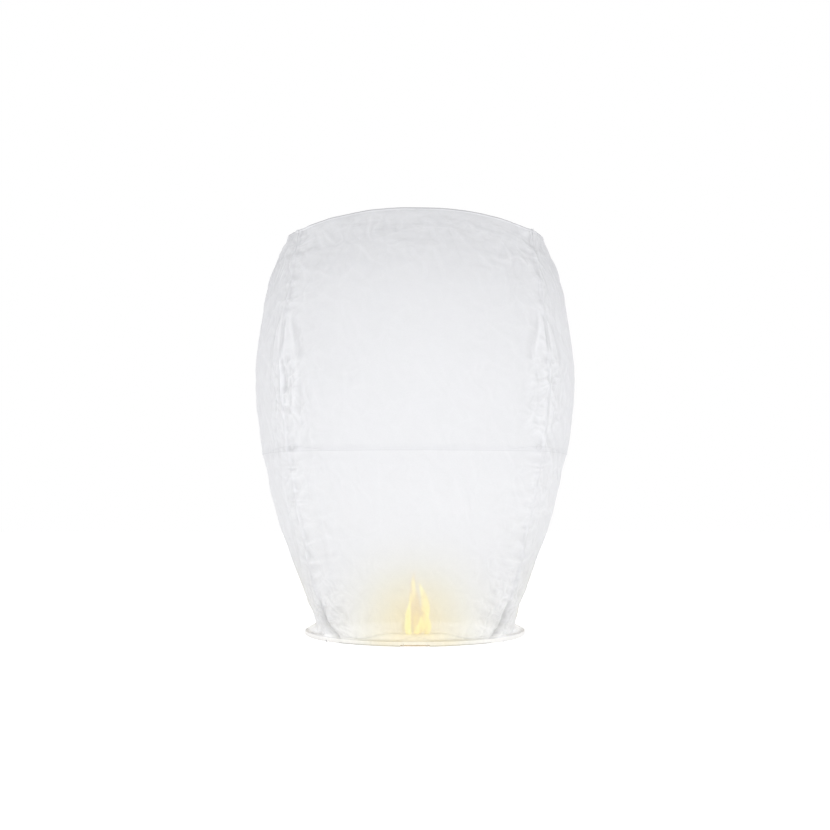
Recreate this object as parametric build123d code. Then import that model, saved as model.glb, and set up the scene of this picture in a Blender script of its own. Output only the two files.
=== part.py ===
"""Sky lantern: four-gore tissue envelope on a bamboo hoop, with a wire-held fuel block.

Frame: millimetres, +Z up, origin on the axis in the plane that the hem stands on.
The front gore faces -Y. Each side of the envelope is a copy of the front one, turned about Z.
"""
from build123d import *
import os
from math import degrees, sqrt

os.makedirs("parts", exist_ok=True)

# ---------------------------------------------------------------- driving dimensions
# Envelope: at each height the four gores are arcs, from corner to corner over a middle.
belly_width = 580.0  # across the middles of opposite gores, at the widest
belly_height = 470.0
rim_width = 450.0  # across the middles of the top panel's edges
rim_corner_spacing = 392.0  # corner to corner along one edge of the top panel
belly_corner_spacing = 447.0
rim_height = 691.0  # at the corners of the top panel
rim_rise = 34.0  # how much higher the middle of each rim edge is
crown_rise = 6.0  # doming of the top panel above what its edges give
splice_height = 323.0  # the level glue line between lower and upper sheets
waist_height = 18.0  # where the paper is drawn in above the hoop
waist_width = 355.0
waist_corner_spacing = 294.0
# how late each outline turns in: 1 is a straight line, more is a fuller belly
corner_curve_below = 1.7
middle_curve_below = 2.25
corner_curve_above = 1.35
middle_curve_above = 2.1
rise_curve = 1.5  # how late the sheets' level lines start to bow up on the way to the rim
# shares of the opening out between waist and splice: of the way up, middle, corner
lower_shape = ((0.25, 0.25, 0.36), (0.5, 0.55, 0.6), (0.75, 0.8, 0.81))
upper_stations = (0.0, 0.3, 0.5, 0.7, 0.86, 1.0)  # of the way from splice to rim
paper = 0.8  # thickness that stands in for tissue of about 0.05
glue_gap = 0.2  # half the paste line between two neighbouring sheets

# Hoop and hem
hoop_radius = 195.4  # mean centreline radius of the bamboo strip
strip_thickness = 2.0
strip_height = 5.0
lap_length = 44.0  # overlap of the strip's two ends
lap_gap = 0.2  # between the two strips where they overlap
hem_clearance = 0.3  # between the strip and the paper folded round it
hem_gap_length = 50.0  # stretch at the front where the hem is cut away round the lap
hem_band = 1.0  # paper left whole above the slots where the wires pass

# Lashing of the lap
thread_size = 0.6
thread_turns = 5
thread_gap = 0.1
binding_inset = 1.0  # from the strip's end to the thread

# Wires
wire_size = 0.85
wire_angle = 50.0  # of the wires' ends from the front, either way
wire_turns = 3
wire_gap = 0.1
wire_sag_height = 2.6  # height of the lower wire's centre where the two cross
prong_spacing = 24.0
prong_stick_out = 5.0  # above the fuel block
tie_size = 0.4
tie_turns = 3
tie_half_width = 2.0

# Fuel block
pad_side = 50.0
pad_thickness = 2.4
pad_count = 6
pad_corner_radius = 4.0
prong_clearance = 0.5
string_size = 1.2
string_gap = 0.3
seat_gap = 0.15  # between the block and the tie it sits on

# ---------------------------------------------------------------- worked-out sizes
hoop_bottom = max(paper, wire_size + wire_gap) + wire_gap
hoop_top = hoop_bottom + strip_height
slot_top = hoop_top + wire_size + 2 * wire_gap
hem_height = slot_top + hem_band
strip_drift = (strip_thickness + lap_gap) / 2  # of each end from the mean radius
hoop_outer = hoop_radius + strip_drift + strip_thickness / 2
hoop_inner = hoop_radius - strip_drift - strip_thickness / 2
hem_outer = hoop_outer + hem_clearance + paper
hem_inner = hoop_inner - hem_clearance - paper
upper_wire_height = wire_sag_height + wire_size + wire_gap
prong_base_height = wire_sag_height - wire_size - wire_gap
tie_top = upper_wire_height + wire_size / 2 + wire_gap + tie_size
tie_bottom = prong_base_height - wire_size / 2 - wire_gap - tie_size
block_bottom = tie_top + seat_gap
block_top = block_bottom + pad_count * pad_thickness
side_turns = {"front": 0, "right": 90, "back": 180, "left": 270}


def save(shape, name):
    export_step(shape, f"parts/{name}.step")


def blend(start, end, share):
    return start + (end - start) * share


# ---------------------------------------------------------------- envelope
def gore_section(corner, middle, corner_height, middle_height):
    """One section through the front gore, in the plane of its corners and its middle."""
    slope = (middle_height - corner_height) / (middle - corner)

    def point(x, reach):
        return (x, -reach, corner_height + slope * (reach - corner))

    end = corner - glue_gap
    outer = ThreePointArc(point(-end, corner), point(0, middle), point(end, corner))
    inner = ThreePointArc(
        point(paper - end, corner - paper),
        point(0, middle - paper),
        point(end - paper, corner - paper),
    )
    sides = [Line(outer @ 0, inner @ 0), Line(outer @ 1, inner @ 1)]
    return make_face([outer.edge(), inner.edge()] + [side.edge() for side in sides])


def profile_at(height):
    """Half widths of the envelope from splice to rim: to its corner and to its middle."""
    full_corner = belly_corner_spacing / 2
    full_middle = belly_width / 2
    if height < belly_height:
        drop = (belly_height - height) / (belly_height - waist_height)
        corner_loss = (full_corner - waist_corner_spacing / 2) * drop**corner_curve_below
        middle_loss = (full_middle - waist_width / 2) * drop**middle_curve_below
    else:
        climb = (height - belly_height) / (rim_height - belly_height)
        corner_loss = (full_corner - rim_corner_spacing / 2) * climb**corner_curve_above
        climb = (height - belly_height) / (rim_height + rim_rise - belly_height)
        middle_loss = (full_middle - rim_width / 2) * climb**middle_curve_above
    return full_corner - corner_loss, full_middle - middle_loss


def lower_gore():
    """Flares in from the hem to the waist, then widens up to the splice."""
    waist_corner = waist_corner_spacing / 2
    waist_middle = waist_width / 2
    splice_corner, splice_middle = profile_at(splice_height)
    waist = gore_section(waist_corner, waist_middle, waist_height, waist_height)
    foot = gore_section(hem_outer / sqrt(2), hem_outer, hem_height, hem_height)
    sections = [waist]
    for rise, middle_share, corner_share in lower_shape:
        height = blend(waist_height, splice_height, rise)
        middle = blend(waist_middle, splice_middle, middle_share)
        corner = blend(waist_corner, splice_corner, corner_share)
        sections.append(gore_section(corner, middle, height, height))
    sections.append(gore_section(splice_corner, splice_middle, splice_height, splice_height))
    return loft([foot, waist], ruled=True) + loft(sections)


def upper_gore():
    """Bellies out above the splice and leans in to the bowed rim of the top panel."""
    sections = []
    for rise in upper_stations:
        corner_height = blend(splice_height, rim_height, rise)
        middle_height = corner_height + rim_rise * rise**rise_curve
        corner = profile_at(corner_height)[0]
        middle = profile_at(middle_height)[1]
        sections.append(gore_section(corner, middle, corner_height, middle_height))
    return loft(sections)


def top_panel():
    """Domed square sheet lying on the gores' upper edges."""
    corner = rim_corner_spacing / 2
    middle = rim_width / 2
    lift = 2 * glue_gap
    steps = [-1 + i / 4 for i in range(9)]
    grid = []
    for v in steps:
        row = []
        for u in steps:
            bow_u = 1 - u * u
            bow_v = 1 - v * v
            x = u * (corner + (middle - corner) * bow_v)
            y = v * (corner + (middle - corner) * bow_u)
            z = rim_height + lift + rim_rise * (bow_u + bow_v) + crown_rise * bow_u * bow_v
            row.append(Vector(x, y, z))
        grid.append(row)
    sheet = Face.make_surface_from_array_of_points(grid)
    return Solid.extrude(sheet, Vector(0, 0, paper))


# ---------------------------------------------------------------- hem and hoop
def hem():
    """Front quarter of the paper folded round the hoop, a channel open at the top."""
    channel = Polyline(
        (hem_inner, hem_height),
        (hem_inner, 0),
        (hem_outer, 0),
        (hem_outer, hem_height),
        (hem_outer - paper, hem_height),
        (hem_outer - paper, paper),
        (hem_inner + paper, paper),
        (hem_inner + paper, hem_height),
        close=True,
    )
    quarter = revolve(Plane.XZ * make_face(channel), Axis.Z, 90)
    return Rot(0, 0, -135) * quarter


def hem_cutters(side):
    """What is cut from one quarter of the hem: paste lines, the lap's gap, the wires' slots."""
    turn = side_turns[side]
    cutters = []
    for end in (-45, 45):
        paste = Box(2 * hem_outer, 2 * glue_gap, 3 * hem_height)
        cutters.append(Rot(0, 0, turn - 90 + end) * (Pos(hem_outer, 0, 0) * paste))
    if side == "front":
        cutters.append(Pos(0, -hoop_radius, 0) * Box(hem_gap_length, 6 * strip_height, 3 * hem_height))
    slot_width = wire_turns * wire_size + 4 * wire_gap
    for direction in wire_directions():
        low_slot = Pos(hoop_radius, 0, slot_top / 2 - hem_height) * Box(
            8 * strip_thickness, slot_width, slot_top + 2 * hem_height
        )
        inner_slot = Pos(hoop_inner - strip_thickness, 0, 0) * Box(
            2 * strip_thickness + 2 * hem_clearance, slot_width, 3 * hem_height
        )
        cutters.append(Rot(0, 0, direction) * low_slot)
        cutters.append(Rot(0, 0, direction) * inner_slot)
    return cutters


def wire_directions():
    """Angles from +X, seen from above, at which the two wires reach the hoop."""
    return [-90 - wire_angle, -90 + wire_angle, 90 - wire_angle, 90 + wire_angle]


def bamboo_hoop():
    """One strip bent round once and a little more, as two half circles of slightly unlike size."""
    lap_angle = degrees(lap_length / 2 / hoop_radius)
    inner_radius = hoop_radius - strip_drift / 2
    outer_radius = hoop_radius + strip_drift / 2
    half = strip_thickness / 2
    # the right half starts inside the lap, the left half ends outside it
    right_centre = (0, strip_drift / 2)
    left_centre = (0, -strip_drift / 2)
    edges = []
    for reach in (-half, half):
        edges.append(CenterArc(right_centre, inner_radius + reach, -90 - lap_angle, 180 + lap_angle))
        edges.append(CenterArc(left_centre, outer_radius + reach, 90, 180 + lap_angle))
    ends = [Line(edges[0] @ 0, edges[2] @ 0), Line(edges[1] @ 1, edges[3] @ 1)]
    outline = make_face([edge.edge() for edge in edges + ends])
    return Pos(0, 0, hoop_bottom) * extrude(outline, strip_height)


def wound_turns(inner_width, inner_height, size, turns):
    """Turns wound side by side round a bar that runs along Y, through the middle of them."""
    ring = RectangleRounded(inner_width + 2 * size, inner_height + 2 * size, size)
    ring -= Rectangle(inner_width, inner_height)
    return extrude(Plane.XZ * ring, turns * size / 2, both=True)


def hoop_binding(side):
    """Thread round both strips near one end of the lap."""
    width = 2 * strip_thickness + lap_gap + 2 * thread_gap
    height = strip_height + 2 * thread_gap
    from_end = binding_inset + thread_turns * thread_size / 2
    along = degrees((lap_length / 2 - from_end) / hoop_radius)
    place = Rot(0, 0, -90 + side * along) * Pos(hoop_radius, 0, (hoop_bottom + hoop_top) / 2)
    return place * wound_turns(width, height, thread_size, thread_turns)


# ---------------------------------------------------------------- wires
def cross_wire(direction, middle_height):
    """A sagging wire across the mouth, wound round the hoop at both ends."""
    radius = wire_size / 2
    reach = hoop_inner - wire_gap - radius
    end_height = hoop_top + wire_gap + radius
    span = ThreePointArc((-reach, 0, end_height), (0, 0, middle_height), (reach, 0, end_height))
    start = Plane(origin=span @ 0, z_dir=span % 0)
    wire = sweep(start * Circle(radius), path=span)
    inner_width = 2 * strip_drift + strip_thickness + 2 * wire_gap
    inner_height = strip_height + 2 * wire_gap
    turns = wound_turns(inner_width, inner_height, wire_size, wire_turns)
    for end in (-1, 1):
        wire += Pos(end * hoop_radius, 0, (hoop_bottom + hoop_top) / 2) * turns
    return Rot(0, 0, direction) * wire


def fuel_prongs():
    """U of wire under the crossing, its two legs standing up through the block."""
    half = prong_spacing / 2
    bend = 2 * wire_size
    top = block_top + prong_stick_out
    path = FilletPolyline(
        (-half, 0, top),
        (-half, 0, prong_base_height),
        (half, 0, prong_base_height),
        (half, 0, top),
        radius=bend,
    )
    start = Plane(origin=path @ 0, z_dir=path % 0)
    return sweep(start * Circle(wire_size / 2), path=path)


def centre_tie():
    """Turns of fine wire round the crossing and the prongs' base."""
    inner_height = tie_top - tie_bottom - 2 * tie_size
    turns = wound_turns(2 * tie_half_width, inner_height, tie_size, tie_turns)
    return Pos(0, 0, (tie_top + tie_bottom) / 2) * Rot(0, 0, 90) * turns


# ---------------------------------------------------------------- fuel block
def fuel_pads():
    """Stack of waxed layers, with a hole in each for either prong."""
    outline = RectangleRounded(pad_side, pad_side, pad_corner_radius)
    for side in (-1, 1):
        outline -= Pos(side * prong_spacing / 2, 0) * Circle(wire_size / 2 + prong_clearance)
    layer = extrude(outline, pad_thickness)
    return Compound([Pos(0, 0, block_bottom + i * pad_thickness) * layer for i in range(pad_count)])


def fuel_string():
    """One turn of string round the sides of the stack, half way up."""
    inner = pad_side + 2 * string_gap
    outer = inner + 2 * string_size
    ring = RectangleRounded(outer, outer, pad_corner_radius + string_gap + string_size)
    ring -= RectangleRounded(inner, inner, pad_corner_radius + string_gap)
    return Pos(0, 0, (block_bottom + block_top - string_size) / 2) * extrude(ring, string_size)


# ---------------------------------------------------------------- build and save
front_upper = upper_gore()
front_lower = lower_gore()
for side, turn in side_turns.items():
    save(Rot(0, 0, turn) * front_upper, f"upper_gore_{side}")
    save(Rot(0, 0, turn) * front_lower, f"lower_gore_{side}")
    quarter = Rot(0, 0, turn) * hem()
    for cutter in hem_cutters(side):
        quarter -= cutter
    save(quarter, f"hem_{side}")

save(top_panel(), "top_panel")
save(bamboo_hoop(), "bamboo_hoop")
save(hoop_binding(-1), "hoop_binding_left")
save(hoop_binding(1), "hoop_binding_right")
save(cross_wire(-90 - wire_angle, wire_sag_height), "cross_wire_left")
save(cross_wire(-90 + wire_angle, upper_wire_height), "cross_wire_right")
save(centre_tie(), "centre_tie")
save(fuel_prongs(), "fuel_prongs")
save(fuel_pads(), "fuel_pads")
save(fuel_string(), "fuel_string")
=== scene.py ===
"""Sky lantern: crumpled tissue envelope on a bamboo hoop, lit by the flame on its fuel block.

Metres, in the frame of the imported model: +Z up, the hem stands on z = 0, the front gore faces -Y.
"""
import bpy
import math
import numpy as np
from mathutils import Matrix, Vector


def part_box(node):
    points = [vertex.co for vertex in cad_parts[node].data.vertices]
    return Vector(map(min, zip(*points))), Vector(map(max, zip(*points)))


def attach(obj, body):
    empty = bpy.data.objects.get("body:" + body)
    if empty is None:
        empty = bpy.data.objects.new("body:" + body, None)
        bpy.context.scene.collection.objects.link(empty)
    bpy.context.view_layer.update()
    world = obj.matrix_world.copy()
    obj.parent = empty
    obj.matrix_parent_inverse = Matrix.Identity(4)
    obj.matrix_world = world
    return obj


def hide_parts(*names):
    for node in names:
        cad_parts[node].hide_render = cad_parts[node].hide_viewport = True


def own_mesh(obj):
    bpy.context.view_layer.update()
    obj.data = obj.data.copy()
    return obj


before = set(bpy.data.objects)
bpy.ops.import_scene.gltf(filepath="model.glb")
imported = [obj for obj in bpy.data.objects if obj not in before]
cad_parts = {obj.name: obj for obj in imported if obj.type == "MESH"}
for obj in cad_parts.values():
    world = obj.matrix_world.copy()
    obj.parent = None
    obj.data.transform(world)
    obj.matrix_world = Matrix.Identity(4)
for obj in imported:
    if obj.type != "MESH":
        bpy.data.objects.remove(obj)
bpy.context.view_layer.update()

# ---------------------------------------------------------------- sizes that follow the CAD
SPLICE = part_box("upper_gore_front")[0].z  # level of the glue line between the sheets
HEM_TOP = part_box("hem_left")[1].z
HEM_OUTER = -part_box("hem_left")[0].x
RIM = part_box("top_panel")[0].z - 0.0004  # corners of the top panel
RIM_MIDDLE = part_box("top_panel")[1].x
BELLY_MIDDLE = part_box("upper_gore_right")[1].x
BELLY_HEIGHT = 0.470
BELLY_CORNER = 0.2235
RIM_CORNER = 0.196
RIM_RISE = 0.034  # how much higher the middle of the front and back rims is than their corners
SIDE_RIM_RISE = 0.018  # the side rims bow up less than the front and back ones
RIM_BOW, SIDE_RIM_BOW = 2.35, 1.65  # how square the rims' bows are
RIM_LIFT = 0.0055  # how much higher the lit, swollen envelope's rim stands than the plain one
CROWN_RISE = 0.022  # doming of the top panel above what its edges give
CORNER_CURVES = 1.7, 1.35  # of the envelope's outline at its corners, below and above the belly
MIDDLE_CURVES = 2.25, 2.1  # and at the gores' middles
RISE_CURVE = 1.5  # how late the level lines bow up on the way to the rim
WAIST = 0.018
WAIST_MIDDLE = 0.1775
WAIST_CORNER = 0.147
LOWER_SHAPE = ((0.0, 0.0, 0.0), (0.25, 0.25, 0.36), (0.5, 0.55, 0.6), (0.75, 0.8, 0.81), (1.0, 1.0, 1.0))
TURNS = {"front": 0, "right": 90, "back": 180, "left": 270}

# ---------------------------------------------------------------- paper
GRID = 0.0019  # spacing of the sheets' mesh
HALF_SHEET = 0.235  # half a sheet's greatest width, which sets how many columns it gets
SIZE_STEPS = 121  # rows and columns of the smooth grids that the sheets' sizes are measured on
LAP_BLEND = SPLICE + 0.012, SPLICE + 0.002  # levels between which an upper sheet comes to lie over a lower one
LAYER = 0.0005  # how far one pasted layer stands off the next
SEAM_FLAP = 0.007  # side gores' edges pasted over the front and back ones
SPLICE_LAP = 0.0005  # upper sheets pasted over the lower ones
RIM_FLAP = 0.0034  # top panel's edge folded down over the gores
FOOT_TURN = math.radians(4.5)  # how far the seams' feet swing to the front and back
VALLEY = ((0.0, 0.0195), (0.29, 0.0215), (0.45, 0.015), (0.62, 0.0108), (0.79, 0.0135), (1.0, 0.018))


def smooth(value, low, high):
    """0 below low, 1 above high, and eased between them. low may be above high."""
    t = np.clip((value - low) / (high - low), 0, 1)
    return t * t * (3 - 2 * t)


# ---------------------------------------------------------------- noise
def lattice(i, j, k, seed):
    """A random number from -1 to 1 at each whole-number point."""
    n = i * 73856093 ^ j * 19349663 ^ k * 83492791 ^ (seed * 2654435761 & 0xFFFFFFFF)
    n = (n ^ (n >> 13)) * 1274126177 & 0xFFFFFFFF
    n = (n ^ (n >> 15)) * 2246822519 & 0xFFFFFFFF
    return ((n ^ (n >> 16)) & 0xFFFF) / 32767.5 - 1


def cells(points, size):
    q = points / size
    whole = np.floor(q)
    return whole.astype(np.int64), q - whole


def soft_noise(points, size, seed):
    """Rounded lumps about `size` across, from -1 to 1."""
    whole, f = cells(points, size)
    f = f * f * (3 - 2 * f)
    total = 0
    for a in (0, 1):
        for b in (0, 1):
            for c in (0, 1):
                weight = (
                    (f[..., 0] if a else 1 - f[..., 0])
                    * (f[..., 1] if b else 1 - f[..., 1])
                    * (f[..., 2] if c else 1 - f[..., 2])
                )
                total = total + weight * lattice(
                    whole[..., 0] + a, whole[..., 1] + b, whole[..., 2] + c, seed
                )
    return total


def turn_matrix(seed):
    """A fixed rotation for each seed, so that no lattice lines up with another."""
    random = np.random.RandomState(seed)
    q, _ = np.linalg.qr(random.normal(size=(3, 3)))
    return q


def facets(points, size, seed, warp=0.35):
    """Flat facets about `size` across with sharp creases between them, as in crumpled paper."""
    bend = np.stack([soft_noise(points, size * 1.7, seed + 11 * n) for n in (1, 2, 3)], -1)
    whole, f = cells((points + bend * size * warp) @ turn_matrix(seed), size)
    order = np.argsort(-f, axis=-1)
    steps = np.take_along_axis(f, order, -1)
    corner = whole.copy()
    value = (1 - steps[..., 0]) * lattice(corner[..., 0], corner[..., 1], corner[..., 2], seed)
    for n in range(3):
        corner = corner + (order[..., n, None] == np.arange(3))
        share = steps[..., n] - (steps[..., n + 1] if n < 2 else 0)
        value = value + share * lattice(corner[..., 0], corner[..., 1], corner[..., 2], seed)
    return value


def folds(points, size, seed, warp=0.6):
    """Long sharp creases that wander between flat facets, about -1 to 1."""
    return 1 - 3.2 * np.abs(facets(points, size, seed, warp))


# ---------------------------------------------------------------- envelope's surface
def profile(height):
    """Half widths of the envelope at a height: to its corners and to its middles."""
    below = np.clip((BELLY_HEIGHT - height) / (BELLY_HEIGHT - WAIST), 0, 1)
    climb_c = np.clip((height - BELLY_HEIGHT) / (RIM - BELLY_HEIGHT), 0, 1)
    climb_m = np.clip((height - BELLY_HEIGHT) / (RIM + RIM_RISE - BELLY_HEIGHT), 0, 1)
    corner = BELLY_CORNER - (BELLY_CORNER - WAIST_CORNER) * below ** CORNER_CURVES[0]
    corner = corner - (BELLY_CORNER - RIM_CORNER) * climb_c ** CORNER_CURVES[1]
    middle = BELLY_MIDDLE - (BELLY_MIDDLE - WAIST_MIDDLE) * below ** MIDDLE_CURVES[0]
    middle = middle - (BELLY_MIDDLE - RIM_MIDDLE) * climb_m ** MIDDLE_CURVES[1]
    return corner, middle


# how far the paper's middles stand out of the plain profile at each height
SWELL = ((0.10, 0.0), (0.161, -0.001), (0.212, -0.002), (0.264, -0.0045), (0.315, -0.0062), (0.366, -0.0048),
         (0.418, -0.001), (0.469, -0.001), (0.520, -0.003), (0.572, -0.0028), (0.623, 0.000), (0.650, 0.0020),
         (0.675, -0.0005), (0.700, -0.0030), (0.730, -0.0040))


def section(v, rim_rise):
    """Corner, middle, corner height and middle height of the section whose corners are at v."""
    rise = np.clip((v - SPLICE) / (RIM - SPLICE), 0, 1)
    middle_height = v + rim_rise * rise**RISE_CURVE
    corner, middle = profile(v)[0], profile(middle_height)[1]
    splice_corner, splice_middle = profile(np.array(SPLICE))
    shape = np.array(LOWER_SHAPE)
    up = np.clip((v - WAIST) / (SPLICE - WAIST), 0, 1)
    middle_share = np.polyval(np.polyfit(shape[:, 0], shape[:, 1], 4), up)
    corner_share = np.polyval(np.polyfit(shape[:, 0], shape[:, 2], 4), up)
    low = v < SPLICE
    corner = np.where(low, WAIST_CORNER + (splice_corner - WAIST_CORNER) * corner_share, corner)
    middle = np.where(low, WAIST_MIDDLE + (splice_middle - WAIST_MIDDLE) * middle_share, middle)
    knots = np.array(SWELL)
    middle = middle + sum(np.interp(middle_height + d, knots[:, 0], knots[:, 1]) for d in (-0.012, 0, 0.012)) / 3
    flare = np.clip((WAIST - v) / (WAIST - HEM_TOP), 0, 1)
    corner = corner + (HEM_OUTER / math.sqrt(2) - WAIST_CORNER) * flare
    middle = middle + (HEM_OUTER - WAIST_MIDDLE) * flare
    return corner, middle, v, middle_height


def arc(s, v, rim_rise=RIM_RISE, rim_bow=RIM_BOW):
    """Points of a gore that faces -Y with no crumples: s from corner to corner is -1 to 1."""
    corner, middle, low, high = section(v, rim_rise)
    sag = np.hypot(middle - corner, high - low)
    radius = (corner**2 + sag**2) / (2 * sag)
    half = np.arcsin(np.clip(corner / radius, -1, 1))
    bow = radius * (np.cos(s * half) - np.cos(half)) / sag
    x = radius * np.sin(s * half)
    reach = corner + (middle - corner) * bow
    fuller = 1 - np.abs(s) ** rim_bow
    return np.stack([x, -reach, low + (high - low) * fuller], -1), radius * half


def spin(points, angle):
    """Points turned about Z by an angle, or by one for each point."""
    c, s = np.cos(angle), np.sin(angle)
    x, y = points[..., 0], points[..., 1]
    return np.stack([x * c - y * s, x * s + y * c, points[..., 2]], -1)


def outward(points):
    flat = points[..., :2] / np.linalg.norm(points[..., :2], axis=-1, keepdims=True)
    return np.concatenate([flat, np.zeros_like(flat[..., :1])], -1)


def ridge(distance, width):
    """A sharp fold: 1 on its line, 0 a width away."""
    return np.clip(1 - np.abs(distance) / width, 0, 1)


def relief(p, s, v, away, sides):
    """How far the paper stands out from the smooth surface. away is the distance from the seam."""
    edge = smooth(away, 0.0, 0.006)
    near = np.exp(-away / 0.022)
    wide = np.exp(-away / 0.06)
    low = smooth(v, 0.16, 0.03)
    high = smooth(v, 0.56, 0.67)
    # crumples everywhere, stronger by the seams, at the foot and on the side gores
    rough = 0.17 + 1.05 * wide + 0.40 * low + 0.70 * high + 0.75 * sides
    out = 0.0018 * soft_noise(p, 0.13, 5)
    out += rough * (0.0010 * folds(p, 0.060, 21) + 0.0009 * facets(p, 0.024, 22))
    out += rough * 0.00042 * folds(p, 0.020, 23)
    # folds that run away from the seam
    along = np.stack([away * 0.42, v, p[..., 0] * 0.03], -1)
    calm = 1 - 0.75 * smooth(v, 0.465, 0.485) * smooth(v, 0.560, 0.535)
    out += calm * edge * near * (0.0013 * folds(along, 0.022, 31) + 0.0012 * facets(along, 0.008, 32))
    # soft leaf-shaped lobes beside the seam above the belly
    lobe = smooth(v, 0.470, 0.505) * smooth(v, 0.560, 0.525)
    reach = 0.016 + 0.014 * smooth(v, 0.545, 0.480)
    out += 0.0030 * lobe * smooth(away, 0.002, 0.009) * smooth(away, reach + 0.003, reach - 0.003)
    # the strongest crumples, at the belly
    belly = smooth(v, 0.33, 0.39) * smooth(v, 0.485, 0.465) * np.exp(-((away / 0.034) ** 2)) * edge
    tall = p * (1, 1, 0.62)
    out += belly * (0.0026 * folds(tall, 0.030, 41) + 0.0013 * folds(tall, 0.013, 42))
    # fine crumples where the sheets are drawn in above the hoop
    gathered = smooth(v, 0.150, 0.060) * smooth(v, 0.010, 0.020) * smooth(away, 0.075, 0.020)
    out += gathered * (0.0012 * folds(tall, 0.020, 45) + 0.0007 * folds(p, 0.010, 46))
    # darts at the top corners
    dart = smooth(v, 0.645, 0.650) * (0.35 + 0.65 * smooth(v, 0.650, 0.691))
    out += 0.0022 * dart * ridge(away - 0.0045 * smooth(v, 0.645, 0.690), 0.0035)
    # arcs of folds under the rim
    arcs = np.stack([p[..., 0] * 0.35, p[..., 1] * 0.35, v], -1)
    out += smooth(v, 0.59, 0.67) * (0.0006 * folds(arcs, 0.030, 51) + 0.0005 * facets(arcs, 0.010, 52, 0.9))
    # pleats that rise from the waist
    pleats = np.stack([s, np.zeros_like(s), v * 1.5], -1)
    aside = 0.22 + 0.78 * smooth(np.abs(s), 0.40, 0.80)
    out += 0.0026 * aside * smooth(v, 0.085, 0.020) * smooth(v, 0.008, 0.016) * facets(pleats, 0.085, 61, 0.5)
    # the seam's foot is tucked in
    tuck = smooth(v, 0.125, 0.022) * smooth(v, 0.0085, 0.020)
    out = out - 0.0120 * tuck * np.clip(1 - away / 0.013, 0, 1) ** 1.3
    return out * smooth(v, HEM_TOP, HEM_TOP + 0.004)


def wall(turn, s, v, lift=0.0):
    """Points of the crumpled paper on the gore that faces `turn`, `lift` off the first layer."""
    sides = 1.0 if turn in (90, 270) else 0.0
    shape = (SIDE_RIM_RISE, SIDE_RIM_BOW) if sides else (RIM_RISE, RIM_BOW)
    points, half_length = arc(s, v, *shape)
    points[..., 2] += RIM_LIFT * smooth(v, 0.50, RIM)
    valley = np.interp(np.abs(s), [a for a, b in VALLEY], [b for a, b in VALLEY]) - WAIST
    points[..., 2] += valley * smooth(v, 0.070, WAIST) * smooth(v, HEM_TOP, WAIST)
    if not sides:  # the front and back sheets are drawn in less than the side ones
        eased = 0.0085 * smooth(v, 0.085, WAIST) * smooth(v, HEM_TOP, WAIST) * (1 - s**4)
        points = points + outward(points) * eased[..., None]
    swing = FOOT_TURN * smooth(v, 0.045, HEM_TOP) * np.sign(s) * s**4
    points = spin(points, math.radians(turn) + swing * (1 if sides else -1))
    away = (1 - np.abs(s)) * half_length
    out = relief(points, s, v, away, sides * (1 - np.exp(-away / 0.03)))
    wobble = 0.0009 * soft_noise(points * (1, 1, 2.2), 0.03, 71) * np.exp(-away / 0.012)
    return points + outward(points) * (out + wobble + lift)[..., None], out + wobble


def seam_share(v, distance):
    """The s of a point `distance` along the paper from the corner."""
    _, half_length = arc(np.ones_like(v), v)
    return 1 - distance / half_length


def gore_grid(side, heights, lap):
    """Rows of points of one gore's sheet. lap is where its lower edge lies over the next sheet."""
    turn = TURNS[side]
    columns = np.linspace(-1, 1, int(2 * HALF_SHEET / GRID) | 1)
    s, v = np.meshgrid(columns, heights)
    lift = LAYER * smooth(v, *LAP_BLEND) if lap else np.zeros_like(v)
    own = wall(turn, s, v, lift + (LAYER * smooth(np.abs(s), 0.965, 1.0) if side in ("right", "left") else 0))
    if side in ("front", "back"):
        return (*own, np.abs(s))
    steps = np.array([0.0012, 0.0028, 0.0045, SEAM_FLAP])
    d, v = np.meshgrid(steps, heights)
    raised = LAYER + LAYER * smooth(v, *LAP_BLEND) * (1 if lap else 0)
    ragged = d * (1 + 0.16 * soft_noise(np.stack([v, v * 0, v * 0], -1), 0.012, 81))
    right = wall(turn + 90 if turn < 270 else 0, -seam_share(v, ragged), v, raised)
    left = wall(turn - 90, seam_share(v, ragged), v, raised)
    flap = 1 + d / 0.2
    parts = zip(left, own, right)
    joined = [np.concatenate([a[:, ::-1], b, c], 1) for a, b, c in parts]
    return (*joined, np.concatenate([flap[:, ::-1], np.abs(s), flap], 1))


def sheet_area(grid, keep=1):
    a, b = grid[1:, :-1] - grid[:-1, :-1], grid[:-1, 1:] - grid[:-1, :-1]
    return float((np.linalg.norm(np.cross(a, b), axis=-1) * keep).sum())


def line_length(points):
    return float(np.linalg.norm(np.diff(points, axis=0), axis=-1).sum())


def gore_size(side, heights):
    """Width, length and area that a gore's sheet is cut to: its smooth shape, with the pasted edges."""
    at_side = side in ("left", "right")
    shape = (SIDE_RIM_RISE, SIDE_RIM_BOW) if at_side else (RIM_RISE, RIM_BOW)
    s, v = np.meshgrid(np.linspace(-1, 1, SIZE_STEPS), heights)
    points, half_length = arc(s, v, *shape)
    pasted = 2 * SEAM_FLAP if at_side else 0.0
    area = sheet_area(points) + pasted * line_length(points[:, 0])
    return 2 * float(half_length.max()) + pasted, line_length(points[:, SIZE_STEPS // 2]), area


def high_pass(field, reach):
    """What is left of a field on a grid when its average over `reach` cells each way is taken off."""
    blurred = field
    for axis in (0, 1):
        width = [(reach, reach) if a == axis else (0, 0) for a in (0, 1)]
        total = np.cumsum(np.pad(blurred, width, mode="edge"), axis)
        total = np.insert(total, 0, 0, axis)
        n = field.shape[axis]
        high, low = np.arange(n) + 2 * reach + 1, np.arange(n)
        blurred = (np.take(total, high, axis) - np.take(total, low, axis)) / (2 * reach + 1)
    return field - blurred


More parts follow.
